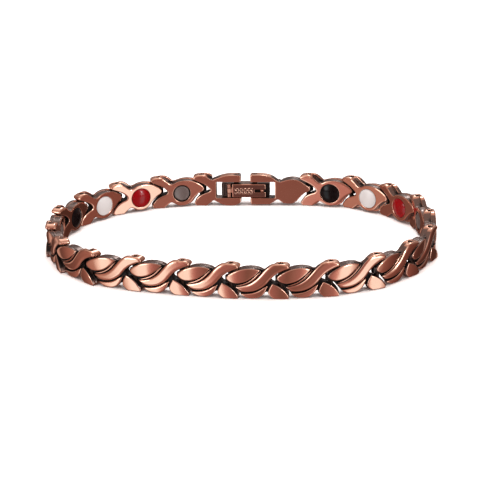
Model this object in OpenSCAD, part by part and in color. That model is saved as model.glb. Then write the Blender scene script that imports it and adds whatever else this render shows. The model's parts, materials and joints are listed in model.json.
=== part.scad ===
// Magnetic bracelet of pinned copper links, closed and standing on its edge.
// Every link has a forked end and a nose. The nose of one link turns on an upright
// pin between the two arms of the next. The leaf relief faces out, and a round
// insert sits in the flat back of every link. A fold-over clasp closes the loop.
// Along a link, u runs from its nose pin to its fork pin, z is up and w is out.

/* [Band] */
// Height of the band, from the surface that it stands on
band_h = 7.0; // [6.5:0.1:7.5]
// Distance between the two pins of a link
pitch = 9.5; // [9.3:0.1:10]
// Thickness of a link, from its back to the top of its leaves
link_t = 2.6; // [2.4:0.1:3]
// Height of the leaves over the sunk ground between them
relief_h = 0.85; // [0.5:0.05:1]
// Number of straight steps from one outline point to the next
outline_steps = 3; // [2:1:6]

/* [Pins] */
// Diameter of the hinge pins
pin_d = 1.0; // [0.8:0.05:1.1]
// Play between a pin and its bore, on the radius
pin_play = 0.03; // [0.02:0.01:0.06]
// Depth of the pin's end below the top of the band
pin_sunk = 0.4; // [0.2:0.1:0.8]
// Diameter of the knuckle round the nose pin
knuckle_d = 2.1; // [2:0.1:2.2]

/* [Inserts] */
// Diameter of the red, white and black inserts
bead_d = 4.1; // [3.6:0.1:4.4]
// Height of those inserts over the back of the link
bead_rise = 0.55; // [0.2:0.05:0.8]
// Diameter of the flat magnet disc
magnet_d = 3.3; // [3:0.1:3.6]
// Diameter of the recess round the magnet
magnet_recess_d = 3.8; // [3.7:0.1:4.2]
// Depth of the recess in the back of the link
recess_depth = 1.2; // [0.8:0.1:1.4]

/* [Clasp] */
// Distance between the end pins of the two clasp links
clasp_span = 23.37; // [23:0.01:24]
// Height of the plate and the folding leaf
leaf_h = 3.0; // [2.6:0.1:3.1]
// Thickness of the folding leaf
leaf_t = 0.5; // [0.4:0.05:0.6]
// Length of the outer plate
plate_len = 10.5; // [9.6:0.1:10.6]
// Opening of the folding leaf: 0 is shut
leaf_open = 0; // [0:5:120]

/* [Hidden] */
$fn = 48;
eps = 0.01;
half_t = link_t / 2;
pin_r = pin_d / 2;
bore_r = pin_r + pin_play;
gap = 0.05;

// Heading of each link in degrees, as the closed bracelet lies. Links 1 to 9 run
// from the clasp along one side, links 12 to 20 along the other, and the two
// front links, 10 and 11, close the loop between them.
side_heading = [192, 206.8, 226.3, 248.8, 270, 293.2, 315.8, 340.1, 347.6];
other_heading = [368.4, 384, 406.1, 424.3, 448.9, 463.6, 488.7, 507, 529.5];

// Where the middle of the clasp span stands, from the middle of the whole loop
clasp_x = 1.189;
clasp_y = 26.752;
first_pin = [clasp_x - clasp_span / 2, clasp_y];
last_pin = [clasp_x + clasp_span / 2, clasp_y];

function along(a) = [cos(a), sin(a)];
function walk_out(n) = n == 0 ? first_pin
    : walk_out(n - 1) + pitch * along(side_heading[n - 1]);
function walk_back(n) = n == 0 ? last_pin
    : walk_back(n - 1) - pitch * along(other_heading[9 - n]);
// The pin between the two front links, on the outer side of their neighbours
function front_pin(a, b) = let (
    mid = (a + b) / 2,
    half = norm(b - a) / 2,
    side = [b[1] - a[1], a[0] - b[0]] / (2 * half)
) mid + side * sqrt(pitch * pitch - half * half);
pin_10 = walk_out(9);
pin_12 = walk_back(9);
pin_11 = front_pin(pin_10, pin_12);
// Pin k is the nose pin of link k and the fork pin of link k - 1
function pin_at(k) = k <= 10 ? walk_out(k - 1)
    : k == 11 ? pin_11
    : walk_back(21 - k);
function heading(n) = let (d = pin_at(n + 1) - pin_at(n)) atan2(d[1], d[0]);

// Outlines: u, z, and 1 at a sharp corner
back_outline = [
    [-0.35, 3.85, 0], [0.00, 3.30, 0], [0.60, 3.00, 0], [1.20, 2.55, 0],
    [1.90, 1.85, 0], [2.50, 1.15, 0], [3.10, 0.65, 0], [3.80, 0.38, 0],
    [4.60, 0.30, 0], [5.50, 0.45, 0], [6.40, 0.95, 0], [7.00, 1.10, 0],
    [7.70, 0.60, 0], [8.40, 0.00, 1], [10.65, 0.00, 1], [11.08, 0.50, 0],
    [10.84, 1.14, 0], [10.34, 1.80, 0], [9.70, 2.35, 0], [8.80, 2.80, 0],
    [8.00, 3.10, 0], [7.65, 3.55, 0], [8.05, 4.20, 0], [8.80, 4.85, 0],
    [9.70, 5.35, 0], [10.60, 5.85, 0], [11.25, 6.35, 0], [11.45, 6.75, 0],
    [11.10, 7.00, 1], [9.60, 7.00, 1], [8.80, 6.75, 0], [8.00, 6.25, 0],
    [7.30, 5.65, 0], [6.75, 5.35, 0], [6.20, 5.45, 0], [5.50, 5.80, 0],
    [4.50, 6.00, 0], [3.50, 6.02, 0], [2.50, 5.86, 0], [1.60, 5.48, 0],
    [0.90, 5.00, 0], [0.20, 4.48, 0]
];
front_outline = [
    [-0.85, 4.05, 0], [-0.50, 3.50, 0], [0.10, 3.10, 0], [0.80, 2.28, 1],
    [1.28, 1.70, 0], [1.82, 0.95, 1], [2.35, 0.45, 0], [3.20, 0.08, 0],
    [4.20, 0.00, 0], [5.10, 0.12, 0], [6.00, 0.62, 0], [6.90, 1.35, 1],
    [7.10, 0.85, 0], [7.45, 0.35, 0], [8.00, 0.00, 1], [10.95, 0.00, 1],
    [11.10, 0.45, 0], [10.60, 1.25, 0], [9.90, 2.05, 0], [9.00, 2.65, 0],
    [8.10, 3.05, 0], [7.65, 3.50, 0], [8.05, 4.45, 0], [8.90, 5.15, 0],
    [10.20, 5.80, 0], [11.15, 6.35, 0], [11.35, 6.75, 0], [11.05, 7.00, 1],
    [8.90, 7.00, 1], [8.00, 6.85, 0], [7.20, 6.40, 0], [6.60, 5.92, 0],
    [6.15, 5.75, 1], [5.75, 5.85, 0], [4.60, 6.12, 0], [3.20, 6.20, 0],
    [1.80, 5.95, 0], [0.60, 5.45, 0], [-0.40, 4.80, 0]
];
main_leaf_outline = [
    [-0.85, 4.05, 0], [-0.45, 4.70, 0], [0.60, 5.38, 0], [1.80, 5.85, 0],
    [3.20, 6.10, 0], [4.60, 6.02, 0], [5.75, 5.62, 1], [5.25, 4.85, 0],
    [4.35, 4.08, 0], [3.20, 3.42, 0], [1.90, 3.05, 0], [0.70, 3.02, 0],
    [-0.30, 3.38, 0]
];
thread_outline = [
    [0.85, 2.50, 1], [2.10, 2.68, 0], [3.20, 3.08, 0], [4.25, 3.72, 0],
    [5.15, 4.55, 0], [5.95, 5.60, 1], [5.00, 4.65, 0], [4.12, 3.86, 0],
    [3.12, 3.24, 0], [2.05, 2.84, 0]
];
s_band_outline = [
    [0.80, 2.28, 1], [1.28, 1.72, 0], [1.92, 1.32, 0], [3.00, 1.22, 0],
    [4.20, 1.45, 0], [5.20, 1.86, 0], [6.20, 2.50, 0], [6.90, 3.08, 0],
    [7.40, 3.70, 0], [8.05, 4.45, 0], [8.90, 5.15, 0], [10.20, 5.80, 0],
    [11.15, 6.35, 0], [11.35, 6.75, 0], [11.05, 7.00, 1], [8.90, 7.00, 1],
    [8.00, 6.85, 0], [7.20, 6.40, 0], [6.45, 5.72, 0], [5.75, 4.92, 0],
    [5.00, 4.10, 0], [4.20, 3.42, 0], [3.20, 2.85, 0], [2.00, 2.50, 0]
];
low_leaf_outline = [
    [1.82, 0.95, 1], [2.35, 0.45, 0], [3.20, 0.08, 0], [4.20, 0.00, 0],
    [5.10, 0.12, 0], [6.00, 0.62, 0], [6.70, 1.45, 0], [7.15, 2.62, 1],
    [6.30, 2.18, 0], [5.30, 1.58, 0], [4.30, 1.16, 0], [3.10, 0.92, 0]
];
corner_leaf_outline = [
    [8.05, 3.05, 1], [7.40, 2.30, 0], [7.10, 0.95, 0], [7.45, 0.35, 0],
    [8.00, 0.00, 1], [10.95, 0.00, 1], [11.10, 0.45, 0], [10.60, 1.25, 0],
    [9.90, 2.05, 0], [9.00, 2.65, 0]
];
// The forked half of the clasp's fork link, and its square slot
fork_link_outline = [
    [0.85, 0.85, 1], [1.40, 0.40, 0], [2.30, 0.10, 0], [3.20, 0.00, 0],
    [4.20, 0.08, 0], [5.30, 0.42, 0], [6.20, 0.90, 0], [7.00, 1.15, 0],
    [7.70, 0.60, 0], [8.40, 0.00, 1], [10.65, 0.00, 1], [11.08, 0.50, 0],
    [10.84, 1.14, 0], [10.34, 1.80, 0], [9.70, 2.35, 0], [8.80, 2.80, 0],
    [8.00, 3.10, 0], [7.50, 3.55, 0], [8.05, 4.20, 0], [8.80, 4.85, 0],
    [9.70, 5.35, 0], [10.60, 5.85, 0], [11.25, 6.35, 0], [11.45, 6.75, 0],
    [11.10, 7.00, 1], [9.60, 7.00, 1], [8.80, 6.85, 0], [8.00, 6.40, 0],
    [7.50, 6.02, 0], [7.05, 5.90, 0], [6.30, 6.20, 0], [5.20, 6.60, 0],
    [4.00, 6.90, 0], [3.00, 7.00, 1], [1.10, 7.00, 1], [0.85, 6.75, 1]
];
fork_slot = [-1.0, 6.25];
fork_pin_u = 1.93;
// The clasp's nose link: a plain round body with a square slot at its far end
nose_link_outline = [
    [-0.35, 3.85, 0], [0.00, 3.30, 0], [0.60, 3.00, 0], [1.20, 2.55, 0],
    [1.90, 1.85, 0], [2.50, 1.15, 0], [3.10, 0.70, 0], [3.80, 0.48, 0],
    [5.30, 0.55, 0], [6.10, 1.00, 0], [6.70, 1.35, 0], [7.40, 0.98, 0],
    [8.20, 0.50, 0], [8.90, 0.30, 0], [12.40, 0.30, 1], [12.67, 0.60, 1],
    [12.67, 6.70, 1], [12.40, 7.00, 1], [10.60, 7.00, 1], [9.60, 6.92, 0],
    [8.60, 6.72, 0], [7.70, 6.35, 0], [6.95, 5.80, 0], [6.30, 5.45, 0],
    [5.60, 5.62, 0], [4.60, 5.90, 0], [3.50, 6.02, 0], [2.50, 5.86, 0],
    [1.60, 5.48, 0], [0.90, 5.00, 0], [0.20, 4.48, 0]
];
nose_slot = [7.3, 13.5];
nose_pin_u = 11.77;
slot_z = [1.75, 5.4];

function corner(p) = p[2] == 1;
function slope_at(p, i) = let (n = len(p)) corner(p[i]) ? [0, 0]
    : [for (c = [0, 1]) (p[(i + 1) % n][c] - p[(i + n - 1) % n][c]) / 2];
function curve_point(a, b, ma, mb, t) = (2 * t * t * t - 3 * t * t + 1) * a
    + (t * t * t - 2 * t * t + t) * ma
    + (3 * t * t - 2 * t * t * t) * b
    + (t * t * t - t * t) * mb;
function xy(p) = [p[0], p[1]];
// A closed curve through the points, straight into every sharp corner
function outline(p, steps = outline_steps) = let (n = len(p)) [
    for (i = [0 : n - 1])
        let (j = (i + 1) % n, count = corner(p[i]) && corner(p[j]) ? 1 : steps)
            for (k = [0 : count - 1])
                curve_point(xy(p[i]), xy(p[j]), slope_at(p, i), slope_at(p, j), k / count)
];
function fitted(p) = [for (q = p) [q[0] * pitch / 9.5, q[1] * band_h / 7.0, q[2]]];

copper = "#B8755C";
dark_copper = "#7A4A3A";
steel = "#6E6764";

// A slab of the given outline between two depths, w measured outwards
module slab(points, w0, w1) {
    translate([0, -w0, 0]) rotate([90, 0, 0]) linear_extrude(height = w1 - w0)
        polygon(outline(fitted(points)));
}

module at_pin(k, turn) {
    p = pin_at(k);
    translate([p[0], p[1], 0]) rotate([0, 0, turn]) children();
}

module upright_bore(u) {
    translate([u, 0, -1]) cylinder(r = bore_r, h = band_h + 2);
}

// Heights w: the sunk ground, the face of the slab behind it, and the thread's top
ground = half_t - relief_h;
back_top = ground - 0.25;
thread_top = half_t - 0.35;
crown_r = 1.7;
// The S curve: its radius, and for each half the centre, first angle and sweep
s_curve_r = 5.45;
s_low = [[2.0, 7.4], 230, 94];
s_high = [[10.81, 1.0], 60, 84];
knuckle_z = [3.2, 4.4];

// Half of the S curve of the band: a round tube along one arc
module s_arc(centre, first, sweep) {
    translate([centre[0], crown_r - half_t, centre[1]]) rotate([90, 0, 0])
        rotate([0, 0, first]) rotate_extrude(angle = sweep, $fn = 96)
            translate([s_curve_r, 0]) circle(r = crown_r);
}

module s_band() {
    intersection() {
        slab(s_band_outline, ground - 0.3, half_t + 0.1);
        union() {
            s_arc(s_low[0], s_low[1], s_low[2]);
            s_arc(s_high[0], s_high[1], s_high[2]);
        }
    }
}

// A leaf: its outline under a long round crown that leans by the given angle
module crowned(points, centre, lean, r, top) {
    intersection() {
        slab(points, ground - 0.3, half_t + 0.1);
        translate([centre[0], r - top, centre[1]]) rotate([0, 90 - lean, 0])
            translate([0, 0, -8]) cylinder(r = r, h = 16, $fn = 96);
    }
}

module main_leaf() {
    crowned(main_leaf_outline, [2.45, 4.6], 14, 2.6, half_t);
}

module low_leaf() {
    crowned(low_leaf_outline, [4.6, 0.75], 14, 1.5, half_t - 0.3);
}

module corner_leaf() {
    crowned(corner_leaf_outline, [8.6, 1.1], -35, 3.0, half_t - 0.15);
}

module knuckle() {
    translate([0, 0, knuckle_z[0]])
        cylinder(d = knuckle_d, h = knuckle_z[1] - knuckle_z[0]);
}

module link_metal() {
    slab(back_outline, -half_t, back_top);
    slab(front_outline, back_top - eps, ground);
    main_leaf();
    slab(thread_outline, ground - 0.1, thread_top);
    s_band();
    low_leaf();
    corner_leaf();
    knuckle();
}

insert_at = [4.55, 3.1];

module recess(d) {
    translate([insert_at[0], half_t + eps, insert_at[1]]) rotate([90, 0, 0])
        cylinder(d = d, h = recess_depth + eps);
}

function insert_kind(n) = (n - 1) % 4;

module link(n) {
    d = insert_kind(n) == 0 ? magnet_recess_d : bead_d + 2 * gap;
    color(copper) at_pin(n, heading(n)) difference() {
        link_metal();
        upright_bore(0);
        upright_bore(pitch);
        recess(d);
    }
}

// Flat magnet disc, just below the back of its link, with a small edge bevel
module magnet(n) {
    sunk = 0.08;
    thick = recess_depth - sunk - gap;
    bevel = 0.12;
    r = magnet_d / 2;
    color(steel) at_pin(n, heading(n))
        translate([insert_at[0], half_t - sunk - thick, insert_at[1]])
            rotate([-90, 0, 0]) rotate_extrude($fn = 64)
                polygon([[0, 0], [r, 0], [r, thick - bevel], [r - bevel, thick], [0, thick]]);
}

// Domed insert: a low round cap on a short cylinder
module bead(n, colour) {
    r = bead_d / 2;
    wall = recess_depth - gap;
    rise = bead_rise;
    ball = (r * r + rise * rise) / (2 * rise);
    color(colour) at_pin(n, heading(n))
        translate([insert_at[0], half_t - wall, insert_at[1]]) rotate([-90, 0, 0])
            intersection() {
                cylinder(r = r, h = wall + rise, $fn = 64);
                translate([0, 0, wall + rise - ball]) sphere(r = ball, $fn = 96);
            }
}

// The clasp's links stand along one line. Their own u runs against X. Each has a
// plain flat face round its slot, and the band's relief at its other end.
flat = half_t - 0.25;
flat_back = flat - 0.6;
fork_relief_u = 7.2;
nose_relief_u = 6.4;

module slot_cut(span) {
    translate([span[0], -half_t - 1, slot_z[0]])
        cube([span[1] - span[0], link_t + 2, slot_z[1] - slot_z[0]]);
}

module clasp_fork_link() {
    color(copper) translate([first_pin[0] + pitch, clasp_y, 0]) rotate([0, 0, 180])
        difference() {
            union() {
                slab(fork_link_outline, -half_t, flat_back);
                intersection() {
                    slab(fork_link_outline, flat_back - eps, flat);
                    translate([0, -2, -1]) cube([fork_relief_u, 4, band_h + 2]);
                }
                intersection() {
                    union() {
                        slab(front_outline, back_top - eps, ground);
                        s_band();
                        corner_leaf();
                    }
                    translate([fork_relief_u - eps, -2, -1]) cube([6, 4, band_h + 2]);
                }
            }
            slot_cut(fork_slot);
            upright_bore(pitch);
            upright_bore(fork_pin_u);
        }
}

module clasp_nose_link() {
    color(copper) translate([last_pin[0], clasp_y, 0]) rotate([0, 0, 180])
        difference() {
            union() {
                slab(nose_link_outline, -half_t, flat_back);
                intersection() {
                    slab(nose_link_outline, flat_back - eps, flat);
                    translate([nose_relief_u, -2, -1]) cube([8, 4, band_h + 2]);
                }
                main_leaf();
                knuckle();
            }
            slot_cut(nose_slot);
            upright_bore(0);
            upright_bore(nose_pin_u);
        }
}

fork_slot_pin = [first_pin[0] + pitch - fork_pin_u, clasp_y];
nose_slot_pin = [last_pin[0] - nose_pin_u, clasp_y];
// Middle of the clasp between its two pins
mid_x = (fork_slot_pin[0] + nose_slot_pin[0]) / 2;
leaf_mid_z = 3.4;
leaf_z = leaf_mid_z - leaf_h / 2;
plate_in = 0.7;
plate_out = half_t + 0.1;
hinge_r = 0.45;
hinge_pin_r = 0.2;
hinge_play = 0.03;
hinge = [mid_x - 3.55, clasp_y - 0.9];
plate_x = mid_x + 0.05 - plate_len / 2;
knuckle_gap = 0.06;
third = (leaf_h - 2 * knuckle_gap) / 3;
// Catch on the plate, and the leaf's slot round it, along X from the middle
catch_from = 3.2;
catch_bump_at = 3.55;
catch_size = [1.1, 0.6, 0.54];
leaf_reach = [-2.85, 4.5];
leaf_slot_from = 2.05;
leaf_slot_h = 0.74;

// Outer plate: a bar with an open groove for one pin and a bore for the other
module clasp_plate() {
    color(dark_copper) difference() {
        union() {
            translate([plate_x, clasp_y - plate_in, leaf_z])
                cube([plate_len, plate_in + plate_out, leaf_h]);
            for (z = [leaf_z, leaf_z + leaf_h - third]) {
                translate([hinge[0], hinge[1], z]) cylinder(r = hinge_r, h = third, $fn = 32);
                translate([hinge[0] - hinge_r, hinge[1], z])
                    cube([2 * hinge_r, clasp_y - plate_in + eps - hinge[1], third]);
            }
            // Catch that stands in the leaf's slot
            translate([mid_x + catch_from, clasp_y - plate_in - 0.55,
                       leaf_mid_z - catch_size[2] / 2]) cube(catch_size);
            translate([mid_x + catch_bump_at, clasp_y - plate_in - 0.5,
                       leaf_mid_z - catch_size[2] / 2])
                cylinder(r = 0.3, h = catch_size[2], $fn = 32);
        }
        // Groove for the fork link's pin, open to the wrist
        translate([fork_slot_pin[0], fork_slot_pin[1], leaf_z - 1])
            cylinder(r = bore_r, h = leaf_h + 2);
        translate([fork_slot_pin[0] - bore_r, clasp_y - plate_in - 1, leaf_z - 1])
            cube([2 * bore_r, plate_in + 1, leaf_h + 2]);
        translate([nose_slot_pin[0], nose_slot_pin[1], leaf_z - 1])
            cylinder(r = bore_r, h = leaf_h + 2);
        // Room for the leaf's knuckle, and the hinge pin's bore
        translate([hinge[0], hinge[1], leaf_z + third])
            cylinder(r = hinge_r + 0.1, h = leaf_h - 2 * third);
        translate([hinge[0], hinge[1], leaf_z - 1])
            cylinder(r = hinge_pin_r + hinge_play, h = leaf_h + 2, $fn = 24);
    }
}

// Folding leaf: a thin plate hinged at one end, with an open slot at the other
module clasp_leaf() {
    inner = clasp_y - half_t - 0.05;
    start = mid_x + leaf_reach[0];
    stop = mid_x + leaf_reach[1];
    color(copper) translate([hinge[0], hinge[1], 0]) rotate([0, 0, -leaf_open])
        translate([-hinge[0], -hinge[1], 0]) difference() {
            union() {
                translate([start, inner, leaf_z]) cube([stop - start, leaf_t, leaf_h]);
                translate([hinge[0], hinge[1], leaf_z + third + knuckle_gap])
                    cylinder(r = hinge_r, h = third, $fn = 32);
                translate([hinge[0], inner, leaf_z + third + knuckle_gap])
                    cube([start - hinge[0] + eps, leaf_t * 0.7, third]);
            }
            translate([mid_x + leaf_slot_from, inner - 1, leaf_mid_z - leaf_slot_h / 2])
                cube([3, leaf_t + 2, leaf_slot_h]);
            translate([hinge[0], hinge[1], leaf_z - 1])
                cylinder(r = hinge_pin_r + hinge_play, h = leaf_h + 2, $fn = 24);
        }
}

module upright_pin(p, top = band_h - pin_sunk) {
    translate([p[0], p[1], pin_sunk]) cylinder(r = pin_r, h = top - pin_sunk);
}

module hinge_pins() {
    color(steel) for (k = [1 : 21]) upright_pin(pin_at(k));
}

module clasp_pins() {
    color(steel) {
        upright_pin(fork_slot_pin);
        upright_pin(nose_slot_pin);
    }
}

module leaf_hinge_pin() {
    color(steel) translate([hinge[0], hinge[1], leaf_z + 0.05])
        cylinder(r = hinge_pin_r, h = leaf_h - 0.1, $fn = 24);
}

red = "#9E0B0F";
white = "#D8D4D2";
black = "#141214";

link(1);  // link_01
link(2);  // link_02
link(3);  // link_03
link(4);  // link_04
link(5);  // link_05
link(6);  // link_06
link(7);  // link_07
link(8);  // link_08
link(9);  // link_09
link(10);  // link_10
link(11);  // link_11
link(12);  // link_12
link(13);  // link_13
link(14);  // link_14
link(15);  // link_15
link(16);  // link_16
link(17);  // link_17
link(18);  // link_18
link(19);  // link_19
link(20);  // link_20
magnet(1);  // magnet_01
bead(2, red);  // red_insert_02
bead(3, white);  // white_insert_03
bead(4, black);  // black_insert_04
magnet(5);  // magnet_05
bead(6, red);  // red_insert_06
bead(7, white);  // white_insert_07
bead(8, black);  // black_insert_08
magnet(9);  // magnet_09
bead(10, red);  // red_insert_10
bead(11, white);  // white_insert_11
bead(12, black);  // black_insert_12
magnet(13);  // magnet_13
bead(14, red);  // red_insert_14
bead(15, white);  // white_insert_15
bead(16, black);  // black_insert_16
magnet(17);  // magnet_17
bead(18, red);  // red_insert_18
bead(19, white);  // white_insert_19
bead(20, black);  // black_insert_20
clasp_fork_link();
clasp_nose_link();
clasp_plate();
clasp_leaf();
hinge_pins();
clasp_pins();
leaf_hinge_pin();
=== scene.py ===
"""Magnetic bracelet of antique copper links, closed and standing on its edge.

Lengths are in millimetres until a mesh is handed to Blender, which takes metres.
Along a link, u runs from its nose pin to its fork pin, w points out of the
loop and z is up.
"""

import json
import logging
import math
from dataclasses import dataclass
from enum import Enum
from typing import Callable, Iterable, Sequence

import bpy
import numpy as np
from bpy.types import Material, Mesh, Node, NodeOutputs, NodeSocket, NodeTree, Object
from mathutils import Matrix, Vector
from mathutils.bvhtree import BVHTree

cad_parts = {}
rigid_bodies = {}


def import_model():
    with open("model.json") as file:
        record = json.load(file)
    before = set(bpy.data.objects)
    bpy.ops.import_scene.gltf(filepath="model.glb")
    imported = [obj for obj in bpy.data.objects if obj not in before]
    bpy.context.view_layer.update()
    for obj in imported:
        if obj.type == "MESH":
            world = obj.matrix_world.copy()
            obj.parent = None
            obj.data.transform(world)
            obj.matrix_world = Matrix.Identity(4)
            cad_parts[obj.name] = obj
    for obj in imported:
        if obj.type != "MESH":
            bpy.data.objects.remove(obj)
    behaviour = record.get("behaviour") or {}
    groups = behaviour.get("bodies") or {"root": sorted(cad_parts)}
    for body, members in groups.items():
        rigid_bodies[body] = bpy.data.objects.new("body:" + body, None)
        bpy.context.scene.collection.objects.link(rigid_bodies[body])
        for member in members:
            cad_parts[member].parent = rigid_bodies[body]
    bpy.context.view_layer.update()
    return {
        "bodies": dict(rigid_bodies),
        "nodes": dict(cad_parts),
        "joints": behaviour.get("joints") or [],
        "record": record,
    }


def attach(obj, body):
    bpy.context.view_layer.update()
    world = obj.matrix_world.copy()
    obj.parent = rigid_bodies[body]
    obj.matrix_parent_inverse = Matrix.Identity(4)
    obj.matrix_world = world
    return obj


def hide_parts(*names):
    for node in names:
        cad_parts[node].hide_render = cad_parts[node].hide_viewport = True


LOG = logging.getLogger("bracelet")
MM = 0.001

Array = np.ndarray
Point = tuple[float, float]
Place = tuple[float, float, float]
Colour = tuple[float, float, float, float]
Outline = Sequence[tuple[float, ...]]


# Sizes shared with the part's source


@dataclass(frozen=True)
class BandSizes:
    """Sizes of the band, its pins and its inserts, in millimetres."""

    height: float = 7.0
    pitch: float = 9.5
    thick: float = 2.6
    relief: float = 0.85
    bore_r: float = 0.53
    knuckle_r: float = 1.05
    knuckle_z: Point = (3.2, 4.4)
    bead_r: float = 2.05
    bead_rise: float = 0.55
    magnet_r: float = 1.65
    magnet_recess_r: float = 1.9
    recess_depth: float = 1.2
    magnet_down: float = 0.08
    insert_at: Point = (4.55, 3.1)
    gap: float = 0.05
    tip_u: float = 11.48

    @property
    def half(self) -> float:
        """Half the thickness of a link."""
        return self.thick / 2

    @property
    def ground(self) -> float:
        """Height w of the sunk ground between the leaves."""
        return self.half - self.relief


@dataclass(frozen=True)
class ClaspSizes:
    """Sizes of the fold-over clasp, in millimetres.

    The plate and the leaf are measured from the middle between the clasp's pins.
    """

    span: float = 23.37
    middle: Point = (1.189, 26.752)
    slot_z: Point = (1.75, 5.4)
    fork_slot: Point = (-1.0, 6.25)
    fork_pin_u: float = 1.93
    nose_slot: Point = (7.3, 13.5)
    nose_pin_u: float = 11.77
    leaf_h: float = 3.0
    leaf_mid_z: float = 3.4
    leaf_t: float = 0.5
    leaf_u: Point = (-2.85, 4.5)
    leaf_slot_u: float = 2.05
    leaf_slot_h: float = 0.74
    plate_u: Point = (-5.2, 5.3)
    plate_in: float = 0.7
    hinge: Point = (-3.55, -0.9)
    hinge_r: float = 0.45
    hinge_bore_r: float = 0.23
    knuckle_gap: float = 0.06
    catch_u: Point = (3.2, 4.3)
    catch_w: Point = (-1.25, -0.4)
    catch_h: float = 0.54
    bump: Point = (3.62, -1.1)
    bump_r: float = 0.34
    rib_u: tuple[float, ...] = (-4.93, -4.58, -4.23)
    rib_half: float = 0.08
    rib_deep: float = 0.25
    hatch_step: float = 0.84
    hatch_at: Point = (-0.3, 3.4)
    hatch_half: Point = (2.0, 0.72)
    hatch_deep: float = 0.12

    @property
    def leaf_w(self) -> float:
        """Height w of the leaf's face, which looks into the loop."""
        return -(BAND.half + 0.05)

    @property
    def low(self) -> float:
        """Height z of the lower edge of the plate and the leaf."""
        return self.leaf_mid_z - self.leaf_h / 2

    @property
    def high(self) -> float:
        """Height z of their upper edge."""
        return self.low + self.leaf_h

    @property
    def third(self) -> float:
        """Height of each of the three knuckles of the leaf's hinge."""
        return (self.leaf_h - 2 * self.knuckle_gap) / 3


BAND = BandSizes()
CLASP = ClaspSizes()

# Outlines: u and z, with a third value where the corner is sharp. First come the
# stretches that two or three outlines share.
KEEL: Outline = [(0.6, 3), (1.2, 2.55), (1.9, 1.85), (2.5, 1.15)]
LOW_EDGE: Outline = [(1.82, 0.95, 1), (2.35, 0.45), (3.2, 0.08), (4.2, 0), (5.1, 0.12), (6, 0.62)]
FOOT: Outline = [
    (7.7, 0.6), (8.4, 0, 1), (10.65, 0, 1), (11.08, 0.5), (10.84, 1.14), (10.34, 1.8), (9.7, 2.35),
    (8.8, 2.8), (8, 3.1),
]
FRONT_FOOT: Outline = [(10.95, 0, 1), (11.1, 0.45), (10.6, 1.25), (9.9, 2.05), (9, 2.65)]
ARM: Outline = [(9.7, 5.25), (10.6, 5.62), (11.22, 5.9), (11.48, 6.35), (11.38, 7, 1), (9.6, 7, 1)]
FRONT_ARM: Outline = [
    (8.1, 4.4), (8.95, 5.08), (10.2, 5.7), (11.05, 5.98), (11.45, 6.35), (11.35, 7, 1),
    (8.9, 7, 1), (8, 6.85), (7.2, 6.4),
]
# The slab behind, and the sunk ground in front of it
BACK: Outline = [
    (-0.42, 3.95), (-0.12, 3.36), *KEEL, (3.1, 0.65), (3.8, 0.38), (4.6, 0.3), (5.5, 0.45),
    (6.4, 0.95), (7, 1.1), *FOOT, (7.65, 3.55), (8.05, 4.2), (8.8, 4.8), *ARM, (8.8, 6.75),
    (8, 6.25), (7.3, 5.65), (6.75, 5.35), (6.2, 5.45), (5.5, 5.8), (4.5, 6), (3.5, 6.02),
    (2.5, 5.9), (1.6, 5.6), (0.8, 5.18), (0.05, 4.66),
]
FRONT: Outline = [
    (-0.85, 4.05), (-0.5, 3.5), (0.1, 3.1), (0.8, 2.28, 1), (1.28, 1.7), *LOW_EDGE, (6.9, 1.35, 1),
    (7.1, 0.85), (7.45, 0.35), (8, 0, 1), *FRONT_FOOT, (8.1, 3.05), (7.65, 3.5), *FRONT_ARM,
    (6.6, 5.92), (6.15, 5.75, 1), (5.75, 5.85), (4.6, 6.12), (3.2, 6.2), (1.8, 5.95), (0.6, 5.45),
    (-0.4, 4.8),
]
# The relief that stands on the ground
MAIN_LEAF: Outline = [
    (-0.85, 4.05), (-0.45, 4.7), (0.6, 5.38), (1.8, 5.85), (3.2, 6.1), (4.6, 6.02),
    (5.72, 5.66, 1), (5.14, 5), (4.22, 4.28), (3.14, 3.56), (1.88, 3.12), (0.7, 3.02),
    (-0.3, 3.38),
]
THREAD: Outline = [
    (0.85, 2.5, 1), (2.1, 2.66), (3.21, 3.06), (4.26, 3.71), (5.14, 4.56), (6, 5.66, 1),
    (4.92, 4.76), (4.06, 3.92), (3.09, 3.29), (2.04, 2.88),
]
S_BAND: Outline = [
    (0.8, 2.28, 1), (1.28, 1.72), (1.92, 1.32), (3, 1.22), (4.2, 1.4), (5.2, 1.8), (6.2, 2.44),
    (6.9, 3.05), (7.4, 3.66), *FRONT_ARM, (6.45, 5.72), (5.75, 4.92), (5, 4.1), (4.2, 3.42),
    (3.2, 2.85), (2, 2.5),
]
LOW_LEAF: Outline = [
    *LOW_EDGE, (6.7, 1.45), (7.15, 2.62, 1), (6.3, 2.26), (5.3, 1.62), (4.3, 1.21), (3.1, 1),
]
CORNER_LEAF: Outline = [
    (7.95, 3.1, 1), (7.4, 2.2), (7.1, 1.25), (7.45, 0.55), (8.15, 0, 1), *FRONT_FOOT,
]
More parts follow.
